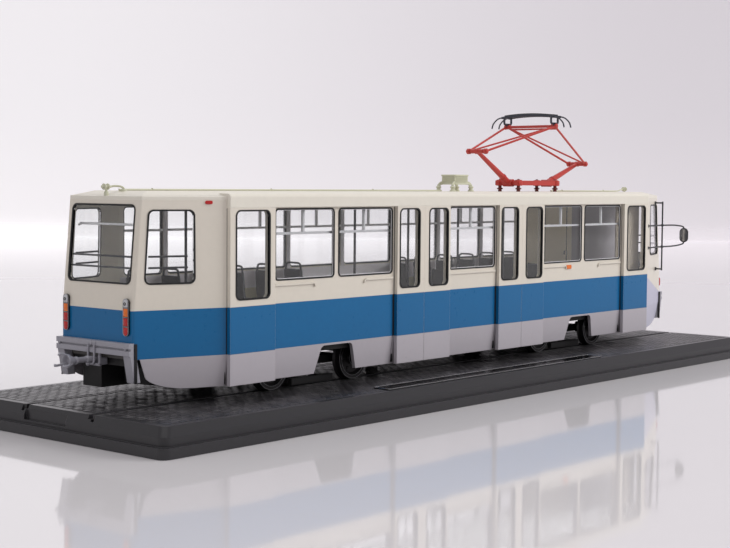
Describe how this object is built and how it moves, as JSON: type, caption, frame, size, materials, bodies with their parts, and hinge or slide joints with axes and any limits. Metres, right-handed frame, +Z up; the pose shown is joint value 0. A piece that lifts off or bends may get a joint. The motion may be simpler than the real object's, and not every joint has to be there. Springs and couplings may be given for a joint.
{
  "type": "scale model tram on a display plinth",
  "caption": "Small display model of a single bogie tram with doors on one side, a diamond pantograph on the roof and a black plinth with rails under its turning wheels.",
  "frame": {"origin": "middle of the plinth's underside, on the surface that it stands on", "axes": "+X towards the tram's front along the track, +Y towards the tram's left side, the one with no doors, +Z up"},
  "size_m": [0.389, 0.112, 0.1203],
  "materials": {
    "plinth_black": "satin black moulding with a paved top",
    "plate_black": "satin black, blank, bright edge line",
    "rail_steel": "dull bright strip",
    "post_steel": "plain",
    "body_blue": "satin blue paint on plastic",
    "body_cream": "satin cream paint, blue waist and grey foot",
    "skirt_grey": "satin grey paint",
    "roof_cream": "satin pale cream paint",
    "window_clear": "clear moulding",
    "seal_black": "matt black",
    "sash_white": "satin white",
    "bar_dark": "satin dark grey",
    "frame_black": "matt black",
    "floor_grey": "matt grey brown",
    "seat_dark": "matt dark grey",
    "cab_beige": "matt beige",
    "bumper_grey": "satin blue grey",
    "lens_red": "clear red",
    "lens_amber": "clear amber",
    "lens_clear": "clear over a bright back",
    "roof_gear": "satin pale green cream",
    "panto_red": "satin red",
    "collector_dark": "satin dark blue grey",
    "wheel_steel": "turned rim, dark web"
  },
  "bodies": {
    "tram_on_plinth": {"amber_lenses": "lens_amber", "bogie_front": "frame_black", "bogie_rear": "frame_black", "bumpers": "bumper_grey", "cab_partition": "cab_beige", "clear_lenses": "lens_clear", "couplers": "bumper_grey", "door_front": "body_cream", "door_guides": "body_cream", "door_middle_front": "body_cream", "door_middle_rear": "body_cream", "door_rear": "body_cream", "driver_console": "seat_dark", "driver_seat": "seat_dark", "equipment_boxes": "frame_black", "fixing_posts": "post_steel", "front_wall": "body_cream", "glass_ends": "window_clear", "glass_left": "window_clear", "glass_right": "window_clear", "grab_poles": "bar_dark", "guard_bars": "bar_dark", "lamp_bezels": "seal_black", "mirrors": "bar_dark", "nameplate": "plate_black", "panto_base": "panto_red", "panto_insulators": "roof_gear", "plinth": "plinth_black", "rails": "rail_steel", "rear_wall": "body_cream", "red_lenses": "lens_red", "roof": "roof_cream", "roof_box": "roof_gear", "roof_cables": "roof_gear", "roof_insulators": "roof_gear", "saloon_floor": "floor_grey", "seals_ends": "seal_black", "seals_left": "seal_black", "seals_right": "seal_black", "seats_left": "seat_dark", "seats_right": "seat_dark", "side_wall_left": "body_cream", "side_wall_right": "body_cream", "skirt_left": "skirt_grey", "skirt_right": "skirt_grey", "underframe": "frame_black", "vent_sashes": "sash_white", "waist_shell": "body_blue"},
    "panto_head_body": {"panto_head": "collector_dark"},
    "panto_lower_front_body": {"panto_lower_front": "panto_red"},
    "panto_lower_rear_body": {"panto_lower_rear": "panto_red"},
    "panto_upper_front_body": {"panto_upper_front": "panto_red"},
    "panto_upper_rear_body": {"panto_upper_rear": "panto_red"},
    "wheelset_1_body": {"wheelset_1": "wheel_steel"},
    "wheelset_2_body": {"wheelset_2": "wheel_steel"},
    "wheelset_3_body": {"wheelset_3": "wheel_steel"},
    "wheelset_4_body": {"wheelset_4": "wheel_steel"}
  },
  "joints": [
    {"name": "panto_rear_lift", "type": "hinge", "parent": "tram_on_plinth", "child": "panto_lower_rear_body", "pos_m": [0.0671, 0, 0.0869], "axis": [0, 1, 0], "range_deg": [-16, 30]},
    {"name": "panto_front_lift", "type": "hinge", "parent": "tram_on_plinth", "child": "panto_lower_front_body", "pos_m": [0.0985, 0, 0.0869], "axis": [0, -1, 0], "range_deg": [-16, 30]},
    {"name": "panto_rear_knuckle", "type": "hinge", "parent": "panto_lower_rear_body", "child": "panto_upper_rear_body", "pos_m": [0.04241, 0, 0.10093], "axis": [0, -1, 0], "range_deg": [-30, 56]},
    {"name": "panto_front_knuckle", "type": "hinge", "parent": "panto_lower_front_body", "child": "panto_upper_front_body", "pos_m": [0.12524, 0, 0.09647], "axis": [0, 1, 0], "range_deg": [-30, 56]},
    {"name": "panto_head_level", "type": "hinge", "parent": "panto_upper_rear_body", "child": "panto_head_body", "pos_m": [0.08461, 0, 0.11337], "axis": [0, 1, 0], "range_deg": [-14, 26]},
    {"name": "axle_1_turn", "type": "hinge", "parent": "tram_on_plinth", "child": "wheelset_1_body", "pos_m": [-0.10955, 0, 0.0182], "axis": [0, 1, 0], "continuous": true},
    {"name": "axle_2_turn", "type": "hinge", "parent": "tram_on_plinth", "child": "wheelset_2_body", "pos_m": [-0.06445, 0, 0.0182], "axis": [0, 1, 0], "continuous": true},
    {"name": "axle_3_turn", "type": "hinge", "parent": "tram_on_plinth", "child": "wheelset_3_body", "pos_m": [0.06445, 0, 0.0182], "axis": [0, 1, 0], "continuous": true},
    {"name": "axle_4_turn", "type": "hinge", "parent": "tram_on_plinth", "child": "wheelset_4_body", "pos_m": [0.10955, 0, 0.0182], "axis": [0, 1, 0], "continuous": true}
  ],
  "couplings": [
    {"joint": "panto_front_lift", "follows": "panto_rear_lift", "ratio": 1},
    {"joint": "panto_rear_knuckle", "follows": "panto_rear_lift", "ratio": 1.81},
    {"joint": "panto_front_knuckle", "follows": "panto_rear_lift", "ratio": 1.78},
    {"joint": "panto_head_level", "follows": "panto_rear_lift", "ratio": 0.81}
  ]
}
